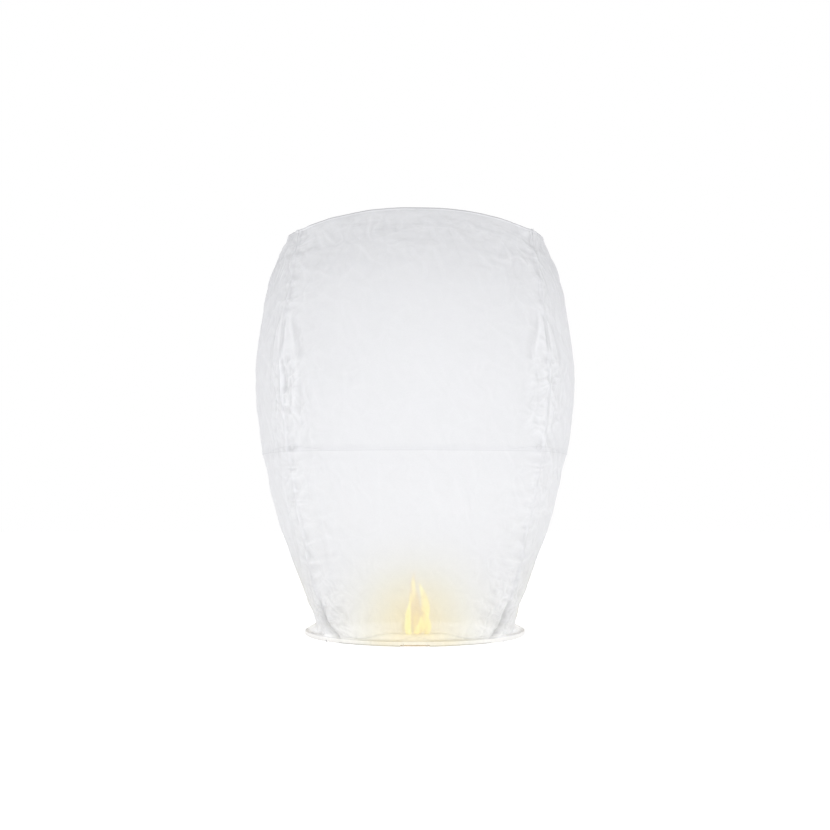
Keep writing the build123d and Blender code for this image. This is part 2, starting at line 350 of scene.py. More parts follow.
def painted_crease_shading(out):
    """Painted highlight and shade: lighter along ridges and darker in creases, about 1."""
    fine = np.clip(190 * high_pass(out, 1), -0.05, 0.04)
    broad = np.clip(36 * high_pass(out, 5), -0.045, 0.03)
    return 1 + fine + broad


def warmth(points):
    """The flame's glow painted on the paper: 1 where it is warmest, at the foot of each gore, to 0 away from it."""
    x, y, z = points[..., 0], points[..., 1], points[..., 2]
    front = np.sqrt(x**2 + (np.abs(y) - 0.186) ** 2 + ((z - 0.030) * 0.92) ** 2)
    side = np.sqrt((np.abs(x) - 0.190) ** 2 + y**2 + (z - 0.085) ** 2)
    near = 0.62 * smooth(front, 0.120, 0.005) + 0.30 * smooth(front, 0.17, 0.05)
    return np.maximum(near, 0.55 * smooth(side, 0.10, 0.0))


def paint(piece, name, values):
    attribute = piece.data.attributes.new(name, "FLOAT", "POINT")
    attribute.data.foreach_set("value", np.ravel(values).astype(np.float32))


def make_piece(name, points, faces, body, material, slot, crease=None, tone=None):
    mesh = bpy.data.meshes.new(name)
    mesh.from_pydata(np.asarray(points, float).reshape(-1, 3).tolist(), [], faces)
    mesh.materials.append(material)
    mesh.validate()
    mesh.shade_smooth()
    if crease is not None:
        mesh.set_sharp_from_angle(angle=math.radians(crease))
    piece = bpy.data.objects.new(name, mesh)
    bpy.context.scene.collection.objects.link(piece)
    if tone is not None:
        # the paper's painted shade and light, and the flame's glow painted on it
        paint(piece, "tone", tone)
        paint(piece, "warmth", warmth(np.asarray(points).reshape(-1, 3)))
    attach(piece, body)
    return piece


def grid_faces(rows, columns, keep=None, wrap=False):
    last = columns if wrap else columns - 1
    r, c = np.meshgrid(np.arange(rows - 1), np.arange(last), indexing="ij")
    n = (c + 1) % columns
    faces = np.stack([r * columns + c, r * columns + n, (r + 1) * columns + n, (r + 1) * columns + c], -1)
    if keep is not None:
        faces = faces[keep]
    return faces.reshape(-1, 4).tolist()


def gore_painted_shading(out, across, v, level, at_side):
    """Painted shade and light on a gore's paper: creases, pasted seams, the cut edge at the splice, the foot."""
    seam = 0.2 * np.abs(across - 1)  # metres from the seam, on either side of it
    faces_front = (across > 1) if at_side else (across <= 1)
    # painted shade in the creases and painted highlight on the ridges
    tone = painted_crease_shading(out)
    # painted shade: darker towards the top
    tone *= 1 - 0.070 * smooth(v, 0.52, 0.665)
    # painted shade: darker low on the wall just above the skirt, more on the side gores
    tone *= 1 - (0.075 if at_side else 0.06) * smooth(v, 0.25, 0.09) * smooth(v, 0.012, 0.024)
    # painted light from the flame: lighter on the flared skirt, most on the side gores
    tone *= 1 + (0.10 if at_side else 0.035) * smooth(v, 0.0185, 0.0145)
    # painted shade in the gathered paper beside each seam's foot
    tone *= 1 - 0.065 * smooth(seam, 0.045, 0.020) * smooth(v, 0.080, 0.040) * smooth(v, 0.010, 0.020)
    # painted light over the pasted edge of the side sheet over the front one, and a painted shadow line along its
    # outer edge
    tone *= 1 + 0.022 * smooth(across, 0.996, 1.0) - 0.035 * smooth(across, 1.026, 1.034)
    # painted shade lines and a painted highlight along a narrow dart at each top corner
    lean = np.clip((v - 0.656) / 0.034, 0, 1)
    dart = smooth(v, 0.648, 0.658) * (faces_front | (seam < 0.0016))
    tone *= 1 - 0.15 * dart * (ridge(seam - 0.0066 * lean, 0.0013) + ridge(seam, 0.0013))
    tone *= 1 + 0.05 * dart * ridge(seam - 0.0030 * lean, 0.0016)
    # painted shade along the outer edges of the leaf-shaped lobes
    lobe = smooth(v, 0.466, 0.474) * smooth(v, 0.541, 0.531)
    edge = 0.016 + 0.014 * smooth(v, 0.545, 0.480)
    tone *= 1 - 0.055 * lobe * smooth(seam, edge - 0.0008, edge + 0.0008) * smooth(seam, edge + 0.016, edge)
    if level == "lower":
        # painted shade along the crease at the waist, away from the seams, and along a line that peaks in the middle
        # of the front and back gores just above the hem
        tone *= 1 - 0.07 * ridge(v - WAIST, 0.0018) * (across < 0.86)
        peak = HEM_TOP + 0.0070 * np.clip(1 - across / 0.21, 0, 1)
        tone *= 1 - (0 if at_side else 0.09) * ridge(v - peak, 0.0011) * (across < 0.20)
    else:
        # painted shade lines: along the upper sheet's cut edge at the splice, along a line just above it, and round a
        # small circle beside each seam
        tone *= 1 - 0.17 * smooth(v, SPLICE - SPLICE_LAP + 0.0010, SPLICE - SPLICE_LAP)
        second = SPLICE - SPLICE_LAP + 0.0075 * smooth(across, 0.55, 0.93)
        tone *= 1 - 0.075 * ridge(v - second, 0.0011) * smooth(across, 0.55, 0.8)
        ring = np.hypot(seam - 0.009, v - second + 0.001)
        tone *= 1 - 0.09 * ridge(ring - 0.0042, 0.0013) * faces_front
    # painted light along the sheet's bottom rows, where it meets the hem
    tone *= 1 + 0.05 * smooth(v, HEM_TOP + 0.0022, HEM_TOP)
    # painted shade at each seam's foot, and at the skirt's ends by the seams on the front and back gores
    foot = smooth(v, 0.085, 0.014) * smooth(across, 0.90, 0.985)
    skirt_end = 0 if at_side else 0.07 * smooth(v, 0.024, 0.016) * smooth(across, 0.62, 0.80)
    return tone * (1 - 0.24 * foot - skirt_end)


def add_gores(material):
    lower_rows = np.concatenate([
        np.linspace(HEM_TOP - 0.0006, WAIST, 8)[:-1],
        np.linspace(WAIST, SPLICE + 0.006, int((SPLICE - WAIST) / GRID)),
    ])
    upper_rows = np.concatenate([
        [SPLICE - SPLICE_LAP, SPLICE - SPLICE_LAP + 0.0009],
        np.linspace(SPLICE + 0.0016, RIM, int((RIM - SPLICE) * 1.06 / GRID)),
    ])
    for side in TURNS:
        for level, rows in (("lower", lower_rows), ("upper", upper_rows)):
            grid, out, across = gore_grid(side, rows, level == "upper")
            node = f"{level}_gore_{side}"
            piece = make_piece(
                f"paper_{node}", grid, grid_faces(*grid.shape[:2]), "frame_and_walls", material, "tissue", 50,
                gore_painted_shading(out, across, rows[:, None], level, side in ("left", "right")),
            )
            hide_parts(node)
            width, length, area = gore_size(side, rows)
            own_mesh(piece)


# ---------------------------------------------------------------- top panel
def panel_base(u, v):
    """The smooth dome of the top panel, u and v from -1 to 1 between its edges."""
    bow_u, bow_v = 1 - u * u, 1 - v * v
    high_u, high_v = 1 - np.abs(u) ** RIM_BOW, 1 - np.abs(v) ** SIDE_RIM_BOW
    x = u * (RIM_CORNER + (RIM_MIDDLE - RIM_CORNER) * bow_v)
    y = v * (RIM_CORNER + (RIM_MIDDLE - RIM_CORNER) * bow_u)
    edge_rise = np.hypot(RIM_RISE * high_u, SIDE_RIM_RISE * high_v)
    z = RIM + RIM_LIFT + 0.0004 + edge_rise + CROWN_RISE * (bow_u * bow_v) ** 1.5
    return np.stack([x, y, z], -1)


def rim_share(across):
    """The s of the gore's rim point that is `across` from the middle, as a share of the corner's."""
    sag = math.hypot(RIM_MIDDLE - RIM_CORNER, RIM_RISE)
    radius = (RIM_CORNER**2 + sag**2) / (2 * sag)
    return np.arcsin(np.clip(across * RIM_CORNER / radius, -1, 1)) / math.asin(RIM_CORNER / radius)


def panel_grid():
    """The domed panel and the edge folded down over each gore, as one grid with notched corners."""
    flap = np.array([0.0007, 0.0014, 0.0024, RIM_FLAP])
    inside = np.linspace(-1, 1, int(2 * HALF_SHEET / GRID) | 1)
    size = RIM_CORNER
    line = np.concatenate([-1 - flap[::-1] / size, inside, 1 + flap / size])
    u, v = np.meshgrid(line, line)
    cu, cv = np.clip(u, -1, 1), np.clip(v, -1, 1)
    points = panel_base(cu, cv)
    x, y = points[..., 0].copy(), points[..., 1].copy()
    rim = np.maximum(np.abs(cu), np.abs(cv))
    corner = np.minimum(np.abs(cu), np.abs(cv)) * smooth(rim, 0.5, 1)
    rough = 0.45 + 0.8 * smooth(corner, 0.6, 1.0) + 0.3 * smooth(rim, 0.75, 1.0)
    bump = rough * (0.0018 * facets(points, 0.050, 91) + 0.0008 * facets(points, 0.021, 92))
    bump = bump + 0.0025 * soft_noise(points, 0.12, 93)
    bump = bump - 0.0012 * ridge(x + 0.004, 0.004) - 0.0010 * ridge(y - 0.01, 0.004)  # a fold each way across it
    bump = bump * smooth(rim, 1.0, 0.93)
    points[..., 2] += bump
    # near the rim the panel meets the gores' own crumpled edges
    one = np.ones_like(cu)
    for turn, line_s, line_v, edge_u, edge_v in (
        (0, cu, -cv, cu, -one), (90, cv, cu, one, cv), (180, -cu, cv, cu, one), (270, -cv, -cu, -one, cv)
    ):
        edge, _ = wall(turn, rim_share(line_s), RIM * one, LAYER)
        shift = edge - panel_base(edge_u, edge_v) + np.array([0, 0, LAYER])
        share = (smooth(line_v, 0.80, 1.0) * (np.abs(line_s) <= line_v + 1e-9))[..., None]
        inside = np.abs(line_s)[..., None] < 1 - 1e-9
        points = points + np.where(inside, shift * share, 0)
        if turn in (0, 180):  # corners take the shift once
            at_corner = (np.abs(line_s) > 1 - 1e-9) & (line_v > 1 - 1e-9)
            points = points + np.where(at_corner[..., None], shift, 0)
    # the folded edges
    for turn, along, over in ((0, u, -v), (90, v, u), (180, -u, v), (270, -v, -u)):
        down = np.clip((over - 1) * size, 0, None)
        on = (over > 1 + 1e-9) & (np.abs(along) <= 1 + 1e-9)
        s = rim_share(np.clip(along, -1, 1))
        folded, _ = wall(turn, s, RIM - down, 2 * LAYER)
        points = np.where(on[..., None], folded, points)
    outside_u, outside_v = np.abs(u) > 1 + 1e-9, np.abs(v) > 1 + 1e-9
    off = outside_u & outside_v
    keep = ~(off[:-1, :-1] | off[1:, :-1] | off[:-1, 1:] | off[1:, 1:])
    reach = np.maximum(np.abs(u), np.abs(v))
    # painted shade: a dark line along the rim's fold, fainter towards the corners, and the whole panel 3 % darker,
    # with painted crease shade; painted light on the folded-down edge
    fold = smooth(reach, 0.994, 1.0) * smooth(reach, 1.008, 1.003)
    fold = fold * (0.07 + 0.17 * smooth(np.minimum(np.abs(u), np.abs(v)), 1.0, 0.86))
    tone = 0.97 * painted_crease_shading(bump) * (1 - fold + 0.10 * smooth(reach, 1.004, 1.010))
    return points, keep, tone


def add_top_panel(material):
    points, keep, tone = panel_grid()
    rows, columns = points.shape[:2]
    faces = grid_faces(rows, columns, keep)
    used = np.unique(np.array(faces))
    number = np.full(rows * columns, -1)
    number[used] = np.arange(len(used))
    piece = make_piece(
        "paper_top_panel", points.reshape(-1, 3)[used], number[np.array(faces)].tolist(),
        "top", material, "tissue", 40, tone.reshape(-1)[used],
    )
    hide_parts("top_panel")
    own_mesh(piece)


# ---------------------------------------------------------------- hem
HEM_INNER = 0.1922
LAP_GAP = 0.025  # half the stretch at the front where the paper is cut away below the lap
NOTCH_TOP = 0.0031  # level that the paper is cut away up to there
HOOP_RADIUS = 0.1954
HEM_GRID = 0.0016
EDGE = 1e-6


def add_hems(material):
    """Tissue folded under the hoop: down the outside, round below and up the inside."""
    profile_points = np.array([
        (HEM_OUTER - 0.0009, HEM_TOP + 0.0004), (HEM_OUTER + 0.0001, HEM_TOP - 0.0006),
        (HEM_OUTER + 0.0003, 0.0075), (HEM_OUTER + 0.0001, 0.0056),
        (HEM_OUTER - 0.0001, NOTCH_TOP), (HEM_OUTER - 0.0001, 0.0018), (HEM_OUTER - 0.0005, 0.0008),
        (HEM_OUTER - 0.0013, 0.0003), (HEM_INNER + 0.0032, 0.0003), (HEM_INNER + 0.0012, 0.0003),
        (HEM_INNER + 0.0004, 0.0009), (HEM_INNER, 0.0024), (HEM_INNER, 0.0050), (HEM_INNER - 0.0002, 0.0078),
        (HEM_INNER - 0.0006, 0.0094),
    ])
    length = np.concatenate([[0], np.cumsum(np.linalg.norm(np.diff(profile_points, axis=0), axis=1))])
    fine = np.sort(np.unique(np.concatenate([length, np.linspace(0, length[-1], 30)])))
    radius, height = (np.interp(fine, length, profile_points[:, k]) for k in (0, 1))
    for side, turn in TURNS.items():
        plain = side in ("front", "back")
        reach = math.radians(45) + (-FOOT_TURN if plain else FOOT_TURN)
        angle = np.linspace(-reach, reach, int(2 * reach * HEM_OUTER / HEM_GRID))[None, :]
        around = angle - math.pi / 2 + math.radians(turn)
        base = np.stack(np.broadcast_arrays(radius[:, None] * np.cos(around), radius[:, None] * np.sin(around),
                                            height[:, None] + 0 * around), -1)
        lumps = 0.0010 * facets(base * (1, 1, 0.4), 0.016, 101, 0.5) + 0.0004 * facets(base * (1, 1, 0.5), 0.006, 102)
        outer_side = np.where(radius > HOOP_RADIUS, 1.0, -1.0)[:, None]
        loose = np.clip(lumps, -0.0003, 0.0014) * outer_side * smooth(fine, 0.0025, 0.0075)[:, None]
        points = base + outward(base) * loose[..., None]
        ragged = 0.0009 * soft_noise(base, 0.011, 103)
        points[..., 2] += np.where(fine[:, None] > length[-2], ragged, 0)
        points[..., 2] = np.maximum(points[..., 2], 0.0001)
        keep = np.ones((len(fine) - 1, angle.shape[1] - 1), bool)
        if side == "front":
            cut = LAP_GAP + 0.0012 * soft_noise(base * (0, 0, 1) + (0.3, 0, 0), 0.003, 104)
            inside = np.abs(angle * HEM_OUTER) < cut
            below = (fine > length[4] - EDGE)[:, None] & inside
            keep = ~(below[1:, 1:] & below[1:, :-1] & below[:-1, 1:] & below[:-1, :-1])
        faces = np.array(grid_faces(len(fine), angle.shape[1], keep))
        used, number = np.unique(faces, return_inverse=True)
        # painted shade: a dark band along the outside of the hem's bottom edge, darker on the front and back, and
        # painted crease shade on the lumps; painted light towards the hem's top
        edge = smooth(height, 0.0026, 0.0012) * (radius > HOOP_RADIUS)
        dark, rise = (0.42, 0.02) if plain else (0.14, 0.06)
        tone = painted_crease_shading(lumps) * (1 - dark * edge + rise * smooth(height, 0.006, 0.0085))[:, None]
        flat_points = points.reshape(-1, 3)[used]
        piece = make_piece(f"paper_hem_{side}", flat_points, number.reshape(-1, 4).tolist(), "frame_and_walls",
                           material, "hem_tissue", 50, tone.reshape(-1)[used])
        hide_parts(f"hem_{side}")


# ---------------------------------------------------------------- materials
class Nodes:
    """Short calls for building one material's node tree."""

    def __init__(self, name):
        self.material = bpy.data.materials.new(name)
        self.material.use_nodes = True
        self.tree = self.material.node_tree
        self.tree.nodes.clear()

    def add(self, kind, values=None, **settings):
        node = self.tree.nodes.new(kind)
        for key, value in settings.items():
            setattr(node, key, value)
        for key, value in (values or {}).items():
            socket = node.inputs[key]
            if isinstance(value, bpy.types.NodeSocket):
                self.tree.links.new(value, socket)
            else:
                socket.default_value = value
        return node

    def math(self, operation, a, b):
        return self.add("ShaderNodeMath", {0: a, 1: b}, operation=operation).outputs[0]

    def mix(self, share, a, b):
        node = self.add("ShaderNodeMix", {0: share, 6: a, 7: b}, data_type="RGBA")
        return node.outputs[2]

    def steps(self, value, stops):
        node = self.add("ShaderNodeValToRGB", {0: value})
        ramp = node.color_ramp
        for place, _ in stops[1:-1]:
            ramp.elements.new(place)
        for element, (_, colour) in zip(ramp.elements, stops):
            element.color = (*colour, 1)
        return node.outputs[0]

    def bump(self, height, strength, distance, normal=None):
        values = {"Height": height, "Strength": strength, "Distance": distance}
        if normal is not None:
            values["Normal"] = normal
        return self.add("ShaderNodeBump", values).outputs[0]

    def noise(self, vector, scale, detail=3.0, rough=0.5, kind="FBM"):
        node = self.add(
            "ShaderNodeTexNoise", {"Vector": vector, "Scale": scale, "Detail": detail, "Roughness": rough},
            noise_type=kind,
        )
        return node.outputs[0]

    def coordinates(self, scale=(1, 1, 1)):
        texture = self.add("ShaderNodeTexCoord").outputs["Object"]
        return self.add("ShaderNodeMapping", {"Vector": texture, "Scale": scale}).outputs[0]

    def finish(self, shader):
        self.add("ShaderNodeOutputMaterial", {"Surface": shader})
        return self.material


def tissue_material(name, white, glow, through_share=0.42, clear_share=0.115, lit=0.0):
    """Thin white tissue: fibres, fine crinkles, light through it, the painted shade and light of its tone attribute,
    the flame's glow painted on near the foot of each gore, and, when asked, a glow of its own as painted light.
    """
    n = Nodes(name)
    place = n.coordinates()
    fibres = n.noise(n.coordinates((1.0, 1.0, 3.2)), 420.0, 5.0, 0.65)
    cloud = n.noise(place, 16.0, 3.0, 0.55)
    crinkle = n.noise(place, 55.0, 6.0, 0.62, "RIDGED_MULTIFRACTAL")
    thick = n.math("ADD", n.math("MULTIPLY", fibres, 0.045), n.math("MULTIPLY", cloud, 0.03))
    dim = n.math("SUBTRACT", 1.02, thick)
    # the flame's glow painted on the paper sets how far the colour runs from white to the glow colour
    painted_glow_share = n.add("ShaderNodeAttribute", attribute_name="warmth").outputs["Fac"]
    # the painted shade and light of the tone attribute
    tone = n.add("ShaderNodeAttribute", attribute_name="tone").outputs["Fac"]
    tint = n.steps(painted_glow_share, [(0.0, white), (0.3, (0.905, 0.893, 0.825)), (0.65, (0.915, 0.868, 0.715)), (1.0, glow)])
    dim = n.math("MULTIPLY", dim, tone)
    colour = n.add("ShaderNodeVectorMath", {0: tint, "Scale": dim}, operation="SCALE").outputs[0]
    normal = n.bump(crinkle, 0.35, 0.0012)
    normal = n.bump(fibres, 0.12, 0.0002, normal)
    # emission here is painted light: the paper glowing of itself
    solid = n.add("ShaderNodeBsdfPrincipled", {
        "Base Color": colour, "Roughness": 0.62, "Specular IOR Level": 0.22, "Normal": normal,
        "Emission Color": colour, "Emission Strength": lit,
    }).outputs[0]
    through = n.add("ShaderNodeBsdfTranslucent", {"Color": colour, "Normal": normal}).outputs[0]
    clear = n.add("ShaderNodeBsdfTransparent", {"Color": (0.97, 0.97, 0.97, 1)}).outputs[0]
    paper = n.add("ShaderNodeMixShader", {0: through_share, 1: solid, 2: through}).outputs[0]
    open_share = n.math("ADD", clear_share, n.math("MULTIPLY", fibres, 0.07))
    return n.finish(n.add("ShaderNodeMixShader", {0: open_share, 1: paper, 2: clear}).outputs[0])


def flame_material(heat):
    """Streaked flame, from brown-orange at a heat of 0 to pale yellow at 1."""
    n = Nodes(f"flame_{round(100 * heat)}")
    streak = n.noise(n.coordinates((1.0, 1.0, 0.20)), 120.0, 2.0, 0.55)
    hot = n.math("ADD", n.math("MULTIPLY", n.math("SUBTRACT", streak, 0.5), 1.9), heat)
    colour = n.steps(hot, [(0.0, (0.62, 0.28, 0.08)), (0.30, (0.95, 0.50, 0.08)), (0.52, (1.75, 1.30, 0.08)),
                           (0.76, (1.95, 1.75, 0.16)), (1.0, (1.70, 1.80, 0.40))])
    glow = n.add("ShaderNodeEmission", {"Color": colour, "Strength": 1.0}).outputs[0]
    return n.finish(glow)


def plain_material(name, colour, dark, scale, stretch, rough, metal=0.0):
    """A streaked or mottled finish for the small hard parts."""
    n = Nodes(name)
    grain = n.noise(n.coordinates(stretch), scale, 5.0, 0.6)
    tone = n.mix(grain, (*colour, 1), (*dark, 1))
    normal = n.bump(grain, 0.4, 0.0004)
    shader = n.add("ShaderNodeBsdfPrincipled", {
        "Base Color": tone, "Roughness": rough, "Metallic": metal, "Normal": normal,
    }).outputs[0]
    return n.finish(shader)


# ---------------------------------------------------------------- flame
def tongue(base, tip, lean, radius, flat, rings=26, around=28, seed=0):
    """A closed, twisting tongue of flame from base to tip. lean is its sideways bow."""
    t = np.linspace(0, 1, rings)[:, None]
    angle = np.linspace(0, 2 * math.pi, around, endpoint=False)[None, :]
    spine = np.array(base) * (1 - t[..., None]) + np.array(tip) * t[..., None]
    spine = spine + np.array(lean) * np.sin(t * math.pi)[..., None]
    girth = radius * (0.72 + 0.9 * t) * np.clip(1 - t, 0, 1) ** 0.75 * 1.35
    girth = np.maximum(girth, 0.00015)
    swirl = 1 + 0.16 * np.sin(3 * angle + 5 * t + seed) + 0.09 * np.sin(5 * angle - 9 * t + 2 * seed)
    x = girth * swirl * np.cos(angle)
    y = girth * swirl * np.sin(angle) * flat
    ring = np.stack([x, y, np.zeros_like(x)], -1)
    return spine + ring


def add_flame():
    """Tongues of flame round and over the fuel block; they give light and nothing else."""
    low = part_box("fuel_pads")[0].z
    tongues = (  # base, tip, sideways bow, girth, depth over width, heat
        ((0.001, -0.012, low + 0.005), (-0.001, -0.006, 0.114), (-0.004, 0, 0), 0.0062, 1.0, 0.34),
        ((0.004, -0.0290, low - 0.001), (0.006, -0.014, 0.093), (0.0150, 0, 0), 0.0074, 0.7, 0.66),
        ((-0.011, -0.027, low - 0.003), (-0.010, -0.020, 0.057), (-0.002, 0, 0), 0.0052, 0.7, 0.95),
        ((0.021, -0.027, low - 0.003), (0.019, -0.020, 0.036), (0.004, 0, 0), 0.0046, 0.8, 0.55),
        ((0.004, -0.029, low - 0.003), (0.003, -0.022, 0.078), (0.001, 0, 0), 0.0064, 0.5, 0.14),
        ((-0.002, 0.012, low + 0.005), (-0.002, 0.006, 0.060), (0.003, 0, 0), 0.0060, 1.0, 0.45),
        ((0.008, 0.014, low + 0.005), (0.010, 0.004, 0.048), (0.003, 0, 0), 0.0060, 1.0, 0.45),
    )
    points, faces, heat_of_face = [], [], []
    for number, (base, tip, lean, radius, flat, heat) in enumerate(tongues):
        grid = tongue(base, tip, lean, radius, flat, seed=number * 1.7)
        start = sum(len(p) for p in points)
        rows, columns = grid.shape[:2]
        points.append(grid.reshape(-1, 3))
        faces += [[i + start for i in f] for f in grid_faces(rows, columns, wrap=True)]
        faces.append([start + i for i in range(columns)][::-1])
        faces.append([start + (rows - 1) * columns + i for i in range(columns)])
        heat_of_face += [heat] * (len(faces) - len(heat_of_face))
    heats = sorted(set(heat_of_face))
    piece = make_piece("flame", np.concatenate(points), faces, "fuel_cell", flame_material(heats[0]), "waxed_pad")
    for heat in heats[1:]:
        piece.data.materials.append(flame_material(heat))
    piece.data.polygons.foreach_set("material_index", [heats.index(heat) for heat in heat_of_face])
    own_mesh(piece)


# ---------------------------------------------------------------- fuel block, thread and wire
def tube(path, radius, around=10):
    """A closed round tube along a path of points: its points and faces."""
    path = np.asarray(path, float)
    along = np.gradient(path, axis=0)
    along /= np.linalg.norm(along, axis=1, keepdims=True)
    side = np.cross(along[0], (0.31, 0.17, 0.93))
    rings = []
    for place, forward in zip(path, along):
        side = side - forward * side.dot(forward)
        side /= np.linalg.norm(side)
        up = np.cross(forward, side)
        angle = np.linspace(0, 2 * math.pi, around, endpoint=False)[:, None]
        rings.append(place + radius * (np.cos(angle) * side + np.sin(angle) * up))
    faces = grid_faces(len(path), around, wrap=True)
    last = (len(path) - 1) * around
    faces += [list(range(around))[::-1], [last + i for i in range(around)]]
    return np.concatenate(rings), faces


def joined(parts):
    """Several (points, faces) as one."""
    points, faces, start = [], [], 0
    for some, these in parts:
        points.append(some)
        faces += [[i + start for i in face] for face in these]
        start += len(some)
    return np.concatenate(points), faces


def rounded(u, v, half, corner):
    """Points of a square with rounded corners, from u and v of -1 to 1."""
    x, y = half * u, half * v
    dx, dy = np.abs(x) - (half - corner), np.abs(y) - (half - corner)
    in_corner = (dx > 0) & (dy > 0)
    shrink = np.where(in_corner, np.maximum(dx, dy) / np.maximum(np.hypot(dx, dy), 1e-9), 1)
    x = np.where(in_corner, np.sign(x) * (half - corner + dx * shrink), x)
    y = np.where(in_corner, np.sign(y) * (half - corner + dy * shrink), y)
    return x, y


def pad_layer(number, low, high, half, corner, prong, hole):
    """One waxed layer, a little warped, with crinkled edges and a hole for each prong."""
    count = 62
    line = np.linspace(-1, 1, count)
    u, v = np.meshgrid(line, line)
    reach = np.maximum(np.abs(u), np.abs(v))
    x, y = rounded(u, v, half, corner)
    flat = np.stack([x, y, 0 * x + number * 0.013], -1)
    pull = 1 - (0.0004 + 0.0007 * (soft_noise(flat, 0.006, 201) + 1)) / half * smooth(reach, 0.6, 1)
    x, y = x * pull, y * pull
    near = np.minimum(np.hypot(x - prong, y), np.hypot(x + prong, y))
    inside = near < hole
    gone = inside[:-1, :-1] | inside[1:, :-1] | inside[:-1, 1:] | inside[1:, 1:]
    faces = np.array(grid_faces(count, count, ~gone))
    used, index = np.unique(faces, return_inverse=True)
    faces = index.reshape(-1, 4)
    x, y, reach, flat = x.ravel()[used], y.ravel()[used], reach.ravel()[used], flat.reshape(-1, 3)[used]
    for side in (-prong, prong):  # the holes' edges are drawn onto circles
        away = np.hypot(x - side, y)
        rim = (away < hole + 0.0012) & np.isin(np.arange(len(x)), boundary_points(faces))
        x = np.where(rim, side + (x - side) * hole / away, x)
        y = np.where(rim, y * hole / away, y)
    warp = 0.00022 * soft_noise(flat * (1, 1, 3), 0.017, 202) * smooth(reach, 0.3, 1)
    thin = 0.00045 * smooth(reach, 0.90, 1.0)
    dimple = 0.00007 * facets(flat, 0.004, 203)
    top = np.stack([x, y, high - 0.00028 - thin + warp + dimple], -1)
    bottom = np.stack([x, y, low + 0.00028 + thin + warp - dimple], -1)
    n = len(x)
    walls = [[a, b, b + n, a + n][::-1] for a, b in boundary_edges(faces)]
    return np.concatenate([top, bottom]), faces.tolist() + (faces[:, ::-1] + n).tolist() + walls


def boundary_edges(faces):
    """Edges that only one face has, as pairs of points in that face's order."""
    pairs = np.concatenate([faces[:, [i, (i + 1) % 4]] for i in range(4)])
    have = set(map(tuple, pairs.tolist()))
    return [pair for pair in sorted(have) if (pair[1], pair[0]) not in have]


def boundary_points(faces):
    return np.unique(np.array(boundary_edges(faces)))


PAD_LAYERS = 6
PAD_CORNER = 0.004
WIRE_RADIUS = 0.000425
PRONG_HOLE = 0.00095  # radius of the holes that the prongs pass
STRING_GAP = 0.0003
STRING_TWISTS = 34
THREAD_SIZE = 0.0006
THREAD_TURNS = 5


def add_fuel_block(wax, string):
    low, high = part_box("fuel_pads")
    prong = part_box("fuel_prongs")[1].x - WIRE_RADIUS
    heights = np.linspace(low.z, high.z, PAD_LAYERS + 1)
    parts = [pad_layer(i, heights[i], heights[i + 1], high.x, PAD_CORNER, prong, PRONG_HOLE)
             for i in range(PAD_LAYERS)]
    pads = make_piece("waxed_pads", *joined(parts), "fuel_cell", wax, "waxed_pad", 35)
    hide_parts("fuel_pads")
    # string: two twisted strands round the block, tied at the front with two short ends
    inner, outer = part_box("fuel_string")
    middle, half = (inner.z + outer.z) / 2, (outer.x + high.x + STRING_GAP) / 2
    turn = np.linspace(0, 2 * math.pi, 420, endpoint=False)
    square = np.maximum(np.abs(np.cos(turn)), np.abs(np.sin(turn)))
    x, y = rounded(np.cos(turn) / square, np.sin(turn) / square, half, 0.005)
    loop = np.stack([x, y, middle + 0.00025 * np.sin(3 * turn)], -1)
    away = outward(loop)
    strands = []
    for phase in (0, math.pi):
        twist = np.arange(len(turn) + 1) * 2 * math.pi * STRING_TWISTS / len(turn) + phase
        ring = np.concatenate([loop, loop[:1]])
        lean = np.concatenate([away, away[:1]])
        path = ring + 0.00026 * (np.cos(twist)[:, None] * lean + np.sin(twist)[:, None] * (0, 0, 1))
        strands.append(tube(path, 0.00033, 7))
    knot = np.array([(0.0, -half - 0.0001, middle), (0.0008, -half - 0.0007, middle + 0.0006),
                     (-0.0007, -half - 0.0009, middle + 0.0002), (0.0004, -half - 0.0006, middle - 0.0008),
                     (0.0016, -half - 0.0005, middle - 0.0003)])
    for end in (-1, 1):
        tail = np.array([
            (end * 0.0012, -half - 0.0005, middle), (end * 0.0030, -half - 0.0006, middle - 0.0013),
            (end * 0.0040, -half - 0.0006, middle - 0.0036), (end * 0.0045, -half - 0.0005, middle - 0.0050),
        ])
        strands.append(tube(bend(tail, 16), 0.00042, 8))
    strands.append(tube(bend(knot, 30), 0.00050, 8))
    tied = make_piece("twisted_string", *joined(strands), "fuel_cell", string, "wick_string")
    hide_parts("fuel_string")


def bend(points, count):
    """A smooth line of `count` points near four or more points."""
    t = np.linspace(0, 1, len(points))
    fine = np.linspace(0, 1, count)
    return np.stack([np.polyval(np.polyfit(t, points[:, k], 3), fine) for k in range(3)], -1)


def coil(width, height, size, turns, per_turn=28):
    """A path wound round a bar that runs along Y, whose section is width by height."""
    t = np.linspace(0, turns, int(turns * per_turn))
    angle = 2 * math.pi * t + math.pi / 2
    square = np.maximum(np.abs(np.cos(angle)), np.abs(np.sin(angle)))
    soft = square * 0.75 + 0.25
    half_x, half_z = (width + size) / 2, (height + size) / 2
    x = np.clip(half_x * np.cos(angle) / soft, -half_x, half_x)
    z = np.clip(half_z * np.sin(angle) / soft, -half_z, half_z)
    y = (t - turns / 2) * size * 0.98
    return np.stack([x, y, z], -1)


